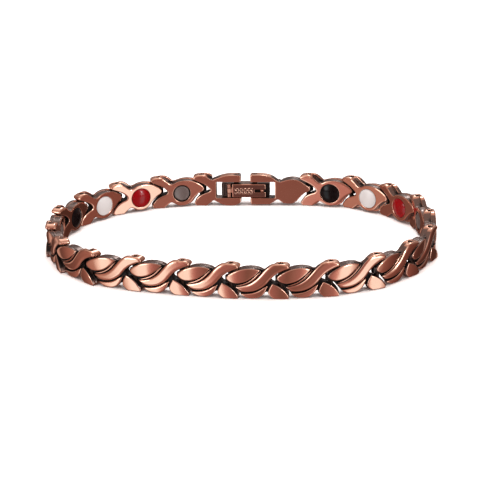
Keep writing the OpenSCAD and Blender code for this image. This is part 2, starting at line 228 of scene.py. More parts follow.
# The two end links of the clasp
FORK_LINK: Outline = [
    (0.85, 0.85, 1), (1.4, 0.4), (2.3, 0.1), (3.2, 0), (4.2, 0.08), (5.3, 0.42), (6.2, 0.9),
    (7, 1.15), *FOOT, (7.5, 3.55), (8.05, 4.2), (8.8, 4.85), *ARM, (8.8, 6.85), (8, 6.4),
    (7.5, 6.02), (7.05, 5.9), (6.3, 6.2), (5.2, 6.6), (4, 6.9), (3, 7, 1), (1.1, 7, 1),
    (0.85, 6.75, 1),
]
NOSE_LINK: Outline = [
    (-0.35, 3.85), (0, 3.3), *KEEL, (3.1, 0.7), (3.8, 0.48), (5.3, 0.55), (6.1, 1), (6.7, 1.35),
    (7.4, 0.98), (8.2, 0.5), (8.9, 0.3), (12.4, 0.3, 1), (12.67, 0.6, 1), (12.67, 6.7, 1),
    (12.4, 7, 1), (10.6, 7, 1), (9.6, 6.92), (8.6, 6.72), (7.7, 6.35), (6.95, 5.8), (6.3, 5.45),
    (5.6, 5.62), (4.6, 5.9), (3.5, 6.02), (2.5, 5.86), (1.6, 5.48), (0.9, 5), (0.2, 4.48),
]
# Headings of links 1 to 9 and 12 to 20; links 10 and 11 close the loop, at the pin
# between them
SIDE_HEADING = [192, 206.8, 226.3, 248.8, 270, 293.2, 315.8, 340.1, 347.6]
OTHER_HEADING = [368.4, 384, 406.1, 424.3, 448.9, 463.6, 488.7, 507, 529.5]
LINKS = 20
CLOSING_PIN = 11


class Insert(Enum):
    """The four kinds of insert, in the order in which they repeat."""

    MAGNET = "magnet"
    RED = "red_insert"
    WHITE = "white_insert"
    BLACK = "black_insert"

    @staticmethod
    def of_link(number: int) -> "Insert":
        """The kind in the link of this number, from 1."""
        return list(Insert)[(number - 1) % len(Insert)]


# The chain of pins


class Chain:
    """Where each pin stands in plan, walked link by link from the clasp."""

    def __init__(self, band: BandSizes, clasp: ClaspSizes) -> None:
        """Walks both sides from the clasp and closes the loop in front.

        Args:
            band: sizes of the links.
            clasp: sizes of the clasp, whose middle is where the walk starts.
        """
        x, y = clasp.middle
        self.pins: dict[int, Array] = {
            1: np.array([x - clasp.span / 2, y]),
            LINKS + 1: np.array([x + clasp.span / 2, y]),
        }
        for k, angle in enumerate(SIDE_HEADING, start=1):
            self.pins[k + 1] = self.pins[k] + band.pitch * self.along(angle)
        for k, angle in zip(range(LINKS, CLOSING_PIN, -1), reversed(OTHER_HEADING)):
            self.pins[k] = self.pins[k + 1] - band.pitch * self.along(angle)
        near, far = self.pins[CLOSING_PIN - 1], self.pins[CLOSING_PIN + 1]
        step = far - near
        half = np.linalg.norm(step) / 2
        out = np.array([step[1], -step[0]]) / (2 * half)
        rise = math.sqrt(band.pitch**2 - half**2)
        self.pins[CLOSING_PIN] = (near + far) / 2 + out * rise

    @staticmethod
    def along(angle: float) -> Array:
        """Unit vector of a heading in degrees."""
        return np.array([math.cos(math.radians(angle)), math.sin(math.radians(angle))])

    def place(self, number: int) -> Matrix:
        """Matrix that takes a link's own frame (mm) to the row frame (m).

        Args:
            number: the link, from 1 to 20.

        Returns:
            The matrix.
        """
        start, end = self.pins[number], self.pins[number + 1]
        turn = math.atan2(end[1] - start[1], end[0] - start[0])
        return placing(float(start[0]), float(start[1]), turn)


def placing(x: float, y: float, turn: float) -> Matrix:
    """Matrix from a frame in mm, stood at x, y and turned, to metres."""
    spot = Matrix.Translation(Vector((x, y, 0.0)) * MM)
    return spot @ Matrix.Rotation(turn, 4, "Z") @ Matrix.Scale(MM, 4)


# Solid forms as fields: negative inside, positive outside


def outline(points: Outline, steps: int = 5) -> Array:
    """Closed smooth curve through the points, straight into sharp corners.

    Args:
        points: u and z, with a third value where the corner is sharp.
        steps: points drawn for each given point.

    Returns:
        The curve as rows of u, z.
    """
    n = len(points)
    place = np.array([p[:2] for p in points], float)
    sharp = [len(p) > 2 for p in points]
    slope = (np.roll(place, -1, 0) - np.roll(place, 1, 0)) / 2
    slope[sharp] = 0
    rows = []
    for i in range(n):
        j = (i + 1) % n
        count = 1 if sharp[i] and sharp[j] else steps
        for t in np.arange(count) / count:
            # A cubic from one point to the next, with the slope of each
            rows.append(
                (2 * t**3 - 3 * t**2 + 1) * place[i] + (t**3 - 2 * t**2 + t) * slope[i]
                + (3 * t**2 - 2 * t**3) * place[j] + (t**3 - t**2) * slope[j]
            )
    return np.array(rows)


def distance_to(curve: Array, u: Array, z: Array) -> Array:
    """Signed distance from a closed curve, negative inside.

    Args:
        curve: rows of u, z.
        u: first coordinates of the grid.
        z: second coordinates of the grid, of the same shape.

    Returns:
        The distance at each point of the grid.
    """
    best = np.full(u.shape, 1e9)
    inside = np.zeros(u.shape, bool)
    for a, b in zip(curve, np.roll(curve, -1, 0)):
        du, dz = b - a
        size = max(du * du + dz * dz, 1e-12)
        t = np.clip(((u - a[0]) * du + (z - a[1]) * dz) / size, 0, 1)
        best = np.minimum(best, (u - a[0] - t * du) ** 2 + (z - a[1] - t * dz) ** 2)
        if abs(dz) > 1e-12:
            crosses = (a[1] > z) != (b[1] > z)
            inside ^= crosses & (u < a[0] + (z - a[1]) * du / dz)
    return np.where(inside, -1, 1) * np.sqrt(best)


def ease(x: Array, a: float, b: float) -> Array:
    """Smooth step from 0 where x is a to 1 where x is b."""
    t = np.clip((x - a) / (b - a), 0, 1)
    return t * t * (3 - 2 * t)


def round_max(a: Array, b: Array, r: float) -> Array:
    """The larger of two fields, with their meeting edge rounded by r."""
    h = np.maximum(r - np.abs(a - b), 0) / r
    return np.maximum(a, b) + h * h * r / 4


def round_min(a: Array, b: Array, r: float) -> Array:
    """The smaller of two fields, with a fillet of about r where they meet."""
    return -round_max(-a, -b, r)


class Grid:
    """A box of sample points in a piece's own frame, in millimetres."""

    def __init__(self, low: Sequence[float], high: Sequence[float], step: float) -> None:
        """Lays the grid.

        Args:
            low: lowest u, w, z.
            high: highest u, w, z.
            step: distance between samples.
        """
        self.low = np.array(low, float)
        self.step = step
        axes = [np.arange(a, b + step, step) for a, b in zip(low, high)]
        self.u, self.w, self.z = np.meshgrid(*axes, indexing="ij", sparse=True)
        self.flat_u, self.flat_z = np.meshgrid(axes[0], axes[2], indexing="ij")

    def over(self, curve: Outline) -> Array:
        """Signed distance from an outline in u and z, the same at every w."""
        return distance_to(outline(curve), self.flat_u, self.flat_z)[:, None, :]

    def box(self, low: Sequence[float], high: Sequence[float], r: float) -> Array:
        """Field of a box with rounded edges.

        Args:
            low: lowest u, w, z.
            high: highest u, w, z.
            r: radius of its edges.

        Returns:
            The field.
        """
        parts = []
        for axis, a, b in zip((self.u, self.w, self.z), low, high):
            parts.append(np.abs(axis - (a + b) / 2) - (b - a) / 2)
        return round_max(round_max(parts[0], parts[1], r), parts[2], r)

    def post(self, u: float, w: float, r: float) -> Array:
        """Field of an endless upright cylinder."""
        return np.sqrt((self.u - u) ** 2 + (self.w - w) ** 2) - r

    def drum(self, u: float, z: float, r: float) -> Array:
        """Field of an endless cylinder that points outwards."""
        return np.sqrt((self.u - u) ** 2 + (self.z - z) ** 2) - r

    def barrel(self, at: Point, r: float, span: Point, edge: float) -> Array:
        """Field of an upright barrel: its u and w, radius, heights and edge radius."""
        ends = np.abs(self.z - (span[0] + span[1]) / 2) - (span[1] - span[0]) / 2
        return round_max(self.post(*at, r), ends, edge)

    def skin(self, values: Array) -> tuple[Array, Array]:
        """Wraps the surface where the field is zero in quads.

        Each cell that the surface crosses gets one vertex, at the middle of
        the crossings of its edges.

        Args:
            values: the field on the whole grid.

        Returns:
            Vertices as u, w, z and faces as rows of four indices.
        """
        # Each cell's vertex
        inside = values < 0
        cells = tuple(n - 1 for n in values.shape)
        total = np.zeros((*cells, 3))
        count = np.zeros(cells)
        for a in np.ndindex(2, 2, 2):
            for axis in range(3):
                if a[axis]:
                    continue
                b = tuple(c + (n == axis) for n, c in enumerate(a))
                fa, fb = [values[tuple(slice(c, c + n) for c, n in zip(end, cells))]
                          for end in (a, b)]
                cross = (fa < 0) != (fb < 0)
                t = np.where(cross, fa / np.where(cross, fa - fb, 1), 0)
                for n in range(3):
                    total[..., n] += np.where(cross, a[n] + (t if n == axis else 0), 0)
                count += cross
        live = count > 0
        index = np.full(live.shape, -1)
        index[live] = np.arange(live.sum())
        cell = np.argwhere(live)
        verts = self.low + self.step * (cell + total[live] / count[live][:, None])
        # A quad round each edge of the grid that is crossed, wound to face out
        faces = []
        for axis in range(3):
            one = [slice(1, -1)] * 3
            one[axis] = slice(0, -1)
            two = list(one)
            two[axis] = slice(1, None)
            a, b = inside[tuple(one)], inside[tuple(two)]
            spots = np.argwhere(a != b)
            spots += np.array([0 if n == axis else 1 for n in range(3)])
            flip = ~inside[tuple(spots.T)]
            p, q = [n for n in range(3) if n != axis]
            ring = []
            for dp, dq in ((-1, -1), (0, -1), (0, 0), (-1, 0)):
                at = spots.copy()
                at[:, p] += dp
                at[:, q] += dq
                ring.append(index[tuple(at.T)])
            quad = np.stack(ring, 1)
            if axis == 1:
                flip = ~flip
            quad[flip] = quad[flip][:, ::-1]
            faces.append(quad)
        return verts, np.concatenate(faces)


# Forms of the cast pieces


@dataclass(frozen=True)
class Crown:
    """How a raised leaf is rounded over its outline.

    Attributes:
        top: height w of the leaf's middle.
        fall: how much lower its edge is.
        reach: distance from the edge to the full height.
        centre: u, z of the middle of its dome.
        lean: degrees that the dome's long axis leans from u towards z.
        long_r: radius of the dome along that axis, 0 for none.
        cross_r: radius of the dome across it, 0 for none.
        edge: radius of its edge.
    """

    top: float
    fall: float
    reach: float
    centre: Point = (0.0, 0.0)
    lean: float = 0.0
    long_r: float = 0.0
    cross_r: float = 0.0
    edge: float = 0.14

    def dome(self, g: Grid) -> Array | float:
        """How far the dome falls below its middle.

        Args:
            g: the grid.

        Returns:
            The fall at each point of the grid, 0 with no dome.
        """
        c, s = math.cos(math.radians(self.lean)), math.sin(math.radians(self.lean))
        du, dz = g.u - self.centre[0], g.z - self.centre[1]
        low = 0.0
        if self.long_r:
            low = low + (du * c + dz * s) ** 2 / (2 * self.long_r)
        if self.cross_r:
            low = low + (dz * c - du * s) ** 2 / (2 * self.cross_r)
        return low


class Leaf(Enum):
    """The raised forms of a link's outer face: the outline and the crown of each."""

    MAIN = (MAIN_LEAF, Crown(BAND.half, 0.12, 0.40, (2.45, 4.6), 14, 13, 9))
    THREAD = (THREAD, Crown(BAND.ground + 0.70, 0.06, 0.10, edge=0.08))
    S_BAND = (S_BAND, Crown(BAND.half, 0.26, 0.80, (6.2, 4.1), 38, 40, 0))
    LOW = (LOW_LEAF, Crown(BAND.half - 0.12, 0.20, 0.42, (4.3, 0.9), 8, 20, 9))
    CORNER = (CORNER_LEAF, Crown(BAND.half - 0.06, 0.12, 0.26, (8.9, 1.3), -40, 14, 12))


@dataclass(frozen=True)
class Casting:
    """Builds the fields of the links from their outlines.

    Attributes:
        band: sizes of the band.
        clasp: sizes of the clasp.
        inner_r: radius of the edges towards the wrist.
        ground_r: radius of the edges of the sunk ground and the recess.
        bore_r: radius of the edges of the bores.
        slot_r: radius of the edges of the clasp's slots.
        slab_down: how far below the ground the slab ends.
        ground_foot: how far below its top the ground starts.
        leaf_foot: how far below the ground the leaves start.
        plain_down: how far a clasp link's plain face lies under the leaves' tops.
        plain_r: radius of its edges.
        plain_edge: how far it falls to its rim.
        fork_relief_u: where the fork link's plain face gives way to the relief.
        nose_relief_u: the same of the nose link.
    """

    band: BandSizes = BAND
    clasp: ClaspSizes = CLASP
    inner_r: float = 0.34
    ground_r: float = 0.08
    bore_r: float = 0.06
    slot_r: float = 0.2
    slab_down: float = 0.2
    ground_foot: float = 0.26
    leaf_foot: float = 0.3
    plain_down: float = 0.25
    plain_r: float = 0.7
    plain_edge: float = 0.6
    fork_relief_u: float = 7.2
    nose_relief_u: float = 6.4

    def grid(self, step: float, far: float = 11.65) -> Grid:
        """A grid round one link, up to the given u."""
        reach = self.band.half + 2 * step
        return Grid((-1.25, -reach, -2 * step), (far, reach, self.band.height + 2 * step), step)

    def slab(
        self, g: Grid, curve: Outline, w0: float, w1: float, r: float,
        outer_r: float | None = None,
    ) -> Array:
        """An outline extruded between two heights, with rounded edges.

        Args:
            g: the grid.
            curve: the outline.
            w0: height w of the inner face.
            w1: height w of the outer face.
            r: radius of the edges.
            outer_r: radius of the outer edges, where it is another.

        Returns:
            The field.
        """
        side = g.over(curve)
        return round_max(round_max(side, g.w - w1, outer_r or r), w0 - g.w, r)

    def leaf(self, g: Grid, kind: Leaf, back: Outline | None = None) -> Array:
        """A leaf whose top falls in a round curve towards its outline.

        Args:
            g: the grid.
            kind: which leaf.
            back: outline of the slab behind it. With one, the leaf is kept within
                it and goes through to the inner face, as one solid with the slab.

        Returns:
            The field.
        """
        curve, crown = kind.value
        side = g.over(curve)
        part = np.clip(-side / crown.reach, 0, 1)
        top = crown.top - crown.fall * (1 - part) ** 3 - crown.dome(g)
        if back is None:
            body = round_max(side, g.w - top, crown.edge)
            return np.maximum(body, self.band.ground - self.leaf_foot - g.w)
        body = round_max(np.maximum(side, g.over(back)), g.w - top, crown.edge)
        return round_max(body, -self.band.half - g.w, self.inner_r)

    def face(self, g: Grid) -> Array:
        """Field of the sunk ground with every leaf on it."""
        low, high = self.band.ground - self.ground_foot, self.band.ground
        floor = self.slab(g, FRONT, low, high, self.ground_r)
        return np.minimum.reduce([floor, *(self.leaf(g, kind) for kind in Leaf)])

    def plain(self, g: Grid, curve: Outline, limit: Array) -> Array:
        """The slab of a clasp link, with its plain outer face.

        Args:
            g: the grid.
            curve: the link's outline.
            limit: field that is negative where the plain face is.

        Returns:
            The field.
        """
        inner = -self.band.half
        flat = self.band.half - self.plain_down
        face = round_max(self.slab(g, curve, inner, flat, self.plain_r), limit, 0.3)
        return np.minimum(face, self.slab(g, curve, inner, flat - self.plain_edge, 0.22))

    def bored(self, g: Grid, solid: Array, *places: float) -> Array:
        """Drills upright pin bores.

        Args:
            g: the grid.
            solid: field of the piece.
            places: u of each bore.

        Returns:
            The field of the bored piece.
        """
        for u in places:
            solid = round_max(solid, -g.post(u, 0, self.band.bore_r), self.bore_r)
        return solid

    def with_knuckle(self, g: Grid, solid: Array) -> Array:
        """Adds the barrel round the nose pin, which ends under the relief."""
        barrel = g.barrel((0, 0), self.band.knuckle_r, self.band.knuckle_z, 0.1)
        return round_min(solid, np.maximum(barrel, g.w - self.band.ground - 0.1), 0.12)

    def tipped(self, g: Grid, solid: Array) -> Array:
        """Rounds the ends of a link's arms in every direction.

        Args:
            g: the grid.
            solid: field of the link.

        Returns:
            The field of the rounded link.
        """
        tip, height, end_r = self.band.tip_u, self.band.height, 0.6
        solid = round_max(solid, g.u - tip, end_r)
        # The top falls to the end at 1 in 2
        fall = (0.5 * (g.u - tip + 1.0) + g.z - height) / math.sqrt(1.25)
        solid = round_max(round_max(solid, fall, end_r), g.z - height, 0.22)
        # The top's long edges are bevelled, and only along the arms
        bevel = (np.abs(g.w) - self.band.half + (g.z - height)) / math.sqrt(2)
        return round_max(solid, bevel + 1.5 * ease(g.u, 7.0, 9.2) - 1.34, 0.40)

    def link(self, g: Grid, recess_r: float) -> Array:
        """Field of a band link.

        Args:
            g: the grid.
            recess_r: radius of the recess in its back.

        Returns:
            The field.
        """
        half = self.band.half
        slab_top = self.band.ground - self.slab_down
        slab = self.slab(g, BACK, -half, slab_top, self.inner_r, outer_r=0.04)
        solid = np.minimum.reduce([slab, self.face(g), self.leaf(g, Leaf.S_BAND, BACK)])
        solid = self.with_knuckle(g, self.tipped(g, solid))
        solid = self.bored(g, solid, 0.0, self.band.pitch)
        u, z = self.band.insert_at
        recess = np.maximum(g.drum(u, z, recess_r), g.w - (self.band.recess_depth - half))
        return round_max(solid, -recess, self.ground_r)

    def slotted(self, g: Grid, solid: Array, span: Point) -> Array:
        """Cuts the square slot of a clasp link between the two given u."""
        (start, end), (low, high) = span, self.clasp.slot_z
        return round_max(solid, -g.box((start, -4, low), (end, 4, high), 0.25), self.slot_r)

    def fork_link(self, g: Grid) -> Array:
        """Field of the clasp's fork link.

        Args:
            g: the grid.

        Returns:
            The field.
        """
        rest = self.fork_relief_u - 0.01 - g.u
        relief = np.minimum(self.face(g), self.leaf(g, Leaf.S_BAND, FORK_LINK))
        solid = np.minimum(
            self.plain(g, FORK_LINK, g.u - self.fork_relief_u), round_max(relief, rest, 0.1))
        solid = self.slotted(g, self.tipped(g, solid), self.clasp.fork_slot)
        return self.bored(g, solid, self.band.pitch, self.clasp.fork_pin_u)

    def nose_link(self, g: Grid) -> Array:
        """Field of the clasp's nose link, which has no corner leaf.

        Args:
            g: the grid.

        Returns:
            The field.
        """
        relief = np.minimum.reduce([self.leaf(g, kind) for kind in list(Leaf)[:-1]])
        relief = round_max(relief, g.u - self.nose_relief_u - 0.1, 0.1)
        relief = round_max(relief, g.over(NOSE_LINK) - 0.05, 0.2)
        solid = np.minimum(self.plain(g, NOSE_LINK, self.nose_relief_u - g.u), relief)
        solid = self.slotted(g, self.with_knuckle(g, solid), self.clasp.nose_slot)
        return self.bored(g, solid, 0.0, self.clasp.nose_pin_u)


# Meshes


def in_scene(name: str, data: bpy.types.ID) -> Object:
    """Puts a new object in the scene.

    Args:
        name: its name.
        data: its mesh, lamp or camera.

    Returns:
        The object.
    """
    thing = bpy.data.objects.new(name, data)
    bpy.context.scene.collection.objects.link(thing)
    return thing


def mesh_of(name: str, verts: Array, faces: Sequence, smooth: bool = True) -> Mesh:
    """Makes a mesh.

    Args:
        name: its name.
        verts: rows of x, y, z.
        faces: rows of indices.
        smooth: whether its faces are shaded smooth.

    Returns:
        The mesh.
    """
    mesh = bpy.data.meshes.new(name)
    mesh.from_pydata([tuple(v) for v in verts], [], [tuple(int(i) for i in f) for f in faces])
    mesh.validate()
    mesh.polygons.foreach_set("use_smooth", [smooth] * len(mesh.polygons))
    return mesh


def thinned(mesh: Mesh, keep: float) -> Mesh:
    """Thins a mesh and evens its normals.

    Args:
        mesh: the mesh, which goes.
        keep: share of its faces that stays.

    Returns:
        A new mesh of the same name.
    """
    thing = in_scene("thinning", mesh)
    thing.modifiers.new("thin", "DECIMATE").ratio = keep
    thing.modifiers.new("even", "WEIGHTED_NORMAL").weight = 60
    graph = bpy.context.evaluated_depsgraph_get()
    out = bpy.data.meshes.new_from_object(thing.evaluated_get(graph))
    name = mesh.name
    bpy.data.objects.remove(thing)
    bpy.data.meshes.remove(mesh)
    out.name = name
    return out


@dataclass(frozen=True)
class Surface:
    """The vertices of a casting in its own frame, with w outwards.

    Attributes:
        at: u, w, z of each.
        normal: its normal.
        shut: how far it is closed in by other walls, from 0 to 1.
    """

    at: Array
    normal: Array
    shut: Array


StainAndShade = Callable[[Surface], Array]


def mark_tarnish_and_shade(
    mesh: Mesh, reach: float, rule: StainAndShade, inwards: bool, rays: int = 28,
) -> None:
    """Stores how much patina and painted shade a casting has, from 0 to 1, as tarnish_and_shade.

    Args:
        mesh: a mesh in millimetres.
        reach: how far a ray looks for another wall.
        rule: gives the patina and painted shade of a surface.
        inwards: whether the mesh's y points into the loop.
        rays: rays sent from each vertex.
    """
    n = len(mesh.vertices)
    co, no = np.zeros((2, n * 3), np.float32)
    mesh.vertices.foreach_get("co", co)
    mesh.vertices.foreach_get("normal", no)
    co, no = co.reshape(-1, 3), no.reshape(-1, 3)
    tree = BVHTree.FromPolygons(
        [Vector(v) for v in co], [tuple(p.vertices) for p in mesh.polygons]
    )
    # Ways spread evenly over the half sphere about each normal
    spiral = np.arange(rays) + 0.5
    up = 1 - spiral / rays
    side = np.sqrt(1 - up * up)
    turn = spiral * math.pi * (3 - math.sqrt(5))
    cone = np.stack([side * np.cos(turn), side * np.sin(turn), up], 1)
    ref = np.where(np.abs(no[:, 2:]) < 0.9, np.array([[0, 0, 1.0]]), np.array([[1.0, 0, 0]]))
    t1 = np.cross(no, ref)
    t1 /= np.linalg.norm(t1, axis=1, keepdims=True)
    t2 = np.cross(no, t1)
    # How far each vertex is closed in, which the rule turns into patina and painted shade
    shut = np.zeros(n)
    start = co + no * 0.03
    for c in cone:
        ways = t1 * c[0] + t2 * c[1] + no * c[2]
        for i in range(n):
            hit = tree.ray_cast(start[i], ways[i], reach)
            if hit[0] is not None:
                shut[i] += (1 - hit[3] / reach) * 0.5 + 0.5
    turned = np.array([1, -1 if inwards else 1, 1], np.float32)
    oxide_and_shade = rule(Surface(co * turned, no * turned, shut / rays))
    attribute = mesh.attributes.new("tarnish_and_shade", "FLOAT", "POINT")
    attribute.data.foreach_set("value", oxide_and_shade.astype(np.float32))


def cast(
    name: str, g: Grid, values: Array, keep: float, rule: StainAndShade, reach: float = 1.3,
    inwards: bool = False,
) -> Mesh:
    """Skins a field, thins the mesh and marks its patina and painted shade.

    Args:
        name: the mesh's name.
        g: the grid of the field.
        values: the field.
        keep: share of the faces that stays.
        rule: gives the patina and painted shade of its surface.
        reach: how far a wall closes another in.
        inwards: whether the mesh's y is to point into the loop.

    Returns:
        A mesh in millimetres with x along u and z up.
    """
    verts, faces = g.skin(values)
    if inwards:
        verts[:, 1] *= -1
        faces = faces[:, ::-1]
    mesh = thinned(mesh_of(name, verts, faces), keep)
    mark_tarnish_and_shade(mesh, reach, rule, inwards)
    return mesh


def piece(
    name: str, mesh: Mesh, where: Matrix, material: Material,
    body: str, nodes: Sequence[str],
) -> Object:
    """Adds a piece of the part, placed, dressed and riding on its body.

    Args:
        name: the piece's name.
        mesh: its mesh, copied.
        where: matrix that takes the mesh to the row frame.
        material: its material.
        body: the body that it rides on.
        nodes: the CAD nodes that it stands for.

    Returns:
        The piece.
    """
    own = mesh.copy()
    own.name = name
    own.transform(where)
    own.materials.clear()
    own.materials.append(material)
    thing = in_scene(name, own)
    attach(thing, body)
    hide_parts(*nodes)
    LOG.info("%s: %d faces on %s", name, len(own.polygons), body)
    return thing


def lathe(profile: Sequence[Point], around: int = 72) -> tuple[Array, list]:
    """Turns a profile of radius and height about the w axis.

    Args:
        profile: radius and w, from the middle of one face to that of the other.
        around: sides of the turned form.

    Returns:
        Vertices as u, w, z and faces as rows of indices.
    """
    verts: list[Place] = []
    rings: list[list[int]] = []
    for r, w in profile:
        count = around if r > 0 else 1
        rings.append([len(verts) + k % count for k in range(around + 1)])
        for k in range(count):
            a = 2 * math.pi * k / around
            verts.append((r * math.cos(a), w, r * math.sin(a)))
    faces = []
    for one, two in zip(rings, rings[1:]):
        for k in range(around):
            faces.append(tuple(dict.fromkeys((one[k], two[k], two[k + 1], one[k + 1]))))
    return np.array(verts), faces


# Finishes

SMOOTH = {"interpolation_type": "SMOOTHSTEP"}
COLOURS = {"data_type": "RGBA"}


def linear(hexed: str, power: float = 1.0) -> Colour:
    """Turns an sRGB hex value linear.

    Args:
        hexed: the value, from "#000000" to "#FFFFFF".
        power: factor on the light.

    Returns:
        The linear colour.
    """
    parts = [int(hexed[i:i + 2], 16) / 255 for i in (1, 3, 5)]
    r, g, b = [c / 12.92 if c <= 0.04045 else ((c + 0.055) / 1.055) ** 2.4 for c in parts]
    return r * power, g * power, b * power, power


def feed(tree: NodeTree, node: Node, inputs: dict) -> None:
    """Gives a node's inputs their values, or the outputs that feed them.

    Args:
        tree: the node tree.
        node: the node.
        inputs: input name or number to a value or an output socket.
    """
    for key, value in inputs.items():
        if isinstance(value, NodeSocket):
            tree.links.new(value, node.inputs[key])
        else:
            node.inputs[key].default_value = value


def add(
    tree: NodeTree, kind: str, settings: dict | None = None,
    inputs: dict | None = None, **named: object,
) -> Node:
    """Adds a node with its settings, values and incoming links.

    Args:
        tree: the node tree.
        kind: the node's type.
        settings: properties of the node itself.
        inputs: input name or number to a value or an output socket.
        named: more inputs, with underscores for the spaces in a name.

    Returns:
        The node.
    """
    made = tree.nodes.new(kind)
    for key, value in (settings or {}).items():
        setattr(made, key, value)
    feed(tree, made, inputs or {})
    feed(tree, made, {key.replace("_", " "): value for key, value in named.items()})
    return made


def blank(name: str) -> tuple[Material, NodeTree, Node]:
    """Makes a new material.

    Args:
        name: its name.

    Returns:
        The material, its tree and its shader, already linked.
    """
    made = bpy.data.materials.new(name)
    made.use_nodes = True
    tree = made.node_tree
    tree.nodes.clear()
    shader = add(tree, "ShaderNodeBsdfPrincipled")
    add(tree, "ShaderNodeOutputMaterial", Surface=shader.outputs["BSDF"])
    return made, tree, shader


@dataclass(frozen=True)
class Mottle:
    """Two colours that a fine cloud mixes, all through a piece.

    Attributes:
        one: the first colour.
        two: the second colour.
        size_mm: size of the cloud's largest forms.
        detail: octaves of finer forms.
        roughness: weight of the finer forms.
    """

    one: str
    two: str
    size_mm: float
    detail: float
    roughness: float

    def build(self, tree: NodeTree, where: NodeSocket) -> tuple[NodeSocket, NodeSocket]:
        """Adds the cloud and the mix.

        Args:
            tree: the node tree.
            where: coordinates in the object's own space.

        Returns:
            The cloud, from 0 to 1, and the mixed colour.
        """
        cloud = add(
            tree, "ShaderNodeTexNoise", Vector=where, Scale=1 / (self.size_mm * MM),
            Detail=self.detail, Roughness=self.roughness,
        ).outputs["Fac"]
        mixed = add(tree, "ShaderNodeMix", COLOURS, Factor=cloud, A=linear(self.one),
                    B=linear(self.two))
        return cloud, mixed.outputs["Result"]


@dataclass(frozen=True)
class CopperFinish:
    """Antique copper plate on a cast link: polished high, dark low with patina and painted shade.

    The raised faces are buffed, so they mirror the studio in salmon and peach.
    The sunk ground and the walls keep a brown-black patina from the antiquing, and the same brown
    and black are painted as shade where walls close in.
    """

    name: str = "antique_copper_buffed"
    tone: Mottle = Mottle("#F7C8B0", "#F0B9A0", 2.4, 3.0, 0.55)
    # Brown and near-black of the patina, both also painted as shade in closed-in places
    bath_and_shade: str = "#85756F"
    oxide_and_shade: str = "#140D0B"
    roughness: float = 0.10
    grain_mm: float = 0.35

    def build(self) -> Material:
        """Makes the material, and returns it."""
        made, tree, shader = blank(self.name)
        where = add(tree, "ShaderNodeTexCoord").outputs["Object"]
        cloud, tone = self.tone.build(tree, where)
        # Patina with painted shade, as stored on each mesh
        closed = add(tree, "ShaderNodeAttribute", {"attribute_name": "tarnish_and_shade"})
        stain_and_shade = add(
            tree, "ShaderNodeMath", {"operation": "MULTIPLY_ADD"},
            {0: cloud, 1: 0.08, 2: closed.outputs["Fac"]},
        ).outputs[0]
        # Brown comes with a little patina and painted shade, black only with much
        dull = add(tree, "ShaderNodeMapRange", SMOOTH, Value=stain_and_shade, From_Min=0.12, From_Max=0.46)
        black = add(tree, "ShaderNodeMapRange", SMOOTH, Value=stain_and_shade, From_Min=0.56, From_Max=0.94)
        skin = add(tree, "ShaderNodeMix", COLOURS, Factor=dull.outputs[0], A=tone,
                   B=linear(self.bath_and_shade))
        deep = add(tree, "ShaderNodeMix", COLOURS, Factor=black.outputs[0],
                   A=skin.outputs["Result"], B=linear(self.oxide_and_shade))
        rough = add(tree, "ShaderNodeMapRange", Value=stain_and_shade, From_Min=0.3, From_Max=1.0,
                    To_Min=self.roughness, To_Max=0.5)
        metal = add(tree, "ShaderNodeMapRange", Value=black.outputs[0], To_Min=1.0, To_Max=0.5)
        # Buffing grain, which is finer on the real one and drawn as coarse as shows
        grain = add(tree, "ShaderNodeTexNoise", Vector=where, Scale=1 / (self.grain_mm * MM),
                    Detail=2.0, Roughness=0.6)
        bump = add(tree, "ShaderNodeBump", Height=grain.outputs["Fac"], Strength=0.05,
                   Distance=0.03 * MM)
        feed(tree, shader, {
            "Base Color": deep.outputs["Result"], "Roughness": rough.outputs[0],
            "Metallic": metal.outputs[0], "Normal": bump.outputs["Normal"],
        })
        return made


@dataclass(frozen=True)
class StoneFinish:
    """A polished or satin ceramic insert, with a faint cloud in its colour."""

    name: str
    tone: Mottle
    roughness: float
    coat: float
    specular: float = 0.2

    def build(self) -> Material:
        """Makes the material, and returns it."""
        made, tree, shader = blank(self.name)
        where = add(tree, "ShaderNodeTexCoord").outputs["Object"]
        feed(tree, shader, {
            "Base Color": self.tone.build(tree, where)[1], "Roughness": self.roughness,
            "Coat Weight": self.coat, "Coat Roughness": 0.06,
            "Specular IOR Level": self.specular,
        })
        return made


@dataclass(frozen=True)
class SteelFinish:
    """Ground steel or magnet alloy: grey, matt, with fine turning grain."""

    name: str
    tone: Mottle
    roughness: float
    metallic: float

    def build(self) -> Material:
        """Makes the material, and returns it."""
        made, tree, shader = blank(self.name)
        where = add(tree, "ShaderNodeTexCoord").outputs["Object"]
        grain, tone = self.tone.build(tree, where)
        bump = add(tree, "ShaderNodeBump", Height=grain, Strength=0.12, Distance=0.03 * MM)
        feed(tree, shader, {
            "Base Color": tone, "Normal": bump.outputs["Normal"],
            "Roughness": self.roughness, "Metallic": self.metallic,
        })
        return made


# The clouds of the plating are 2.4 mm and of a ceramic 1.6 mm, the turning grain of
# pins and magnets 0.3 mm
COPPER = CopperFinish()
DARK_COPPER = CopperFinish(
    "antique_copper_dark", Mottle("#D9A792", "#B98672", 2.4, 3.0, 0.55), roughness=0.24)
PIN = SteelFinish(
    "steel_pin_darkened", Mottle("#4A3A33", "#2E2420", 0.3, 3.0, 0.6), 0.45, 0.9)
INSERTS: dict[Insert, SteelFinish | StoneFinish] = {
    Insert.MAGNET: SteelFinish(
        "magnet_alloy_matt", Mottle("#8F8885", "#77706D", 0.3, 3.0, 0.6), 0.42, 0.75),
    Insert.RED: StoneFinish(
        "red_ceramic_glossy", Mottle("#860009", "#7A0006", 1.6, 4.0, 0.6), 0.12, 0.2, 0.35),
    Insert.WHITE: StoneFinish(
        "white_ceramic_satin", Mottle("#CDCCCB", "#C4C2C1", 1.6, 4.0, 0.6), 0.38, 0.15),
    Insert.BLACK: StoneFinish(
        "black_ceramic_glossy", Mottle("#070506", "#0C090A", 1.6, 4.0, 0.6), 0.18, 0.1),
}


# Sub-assemblies


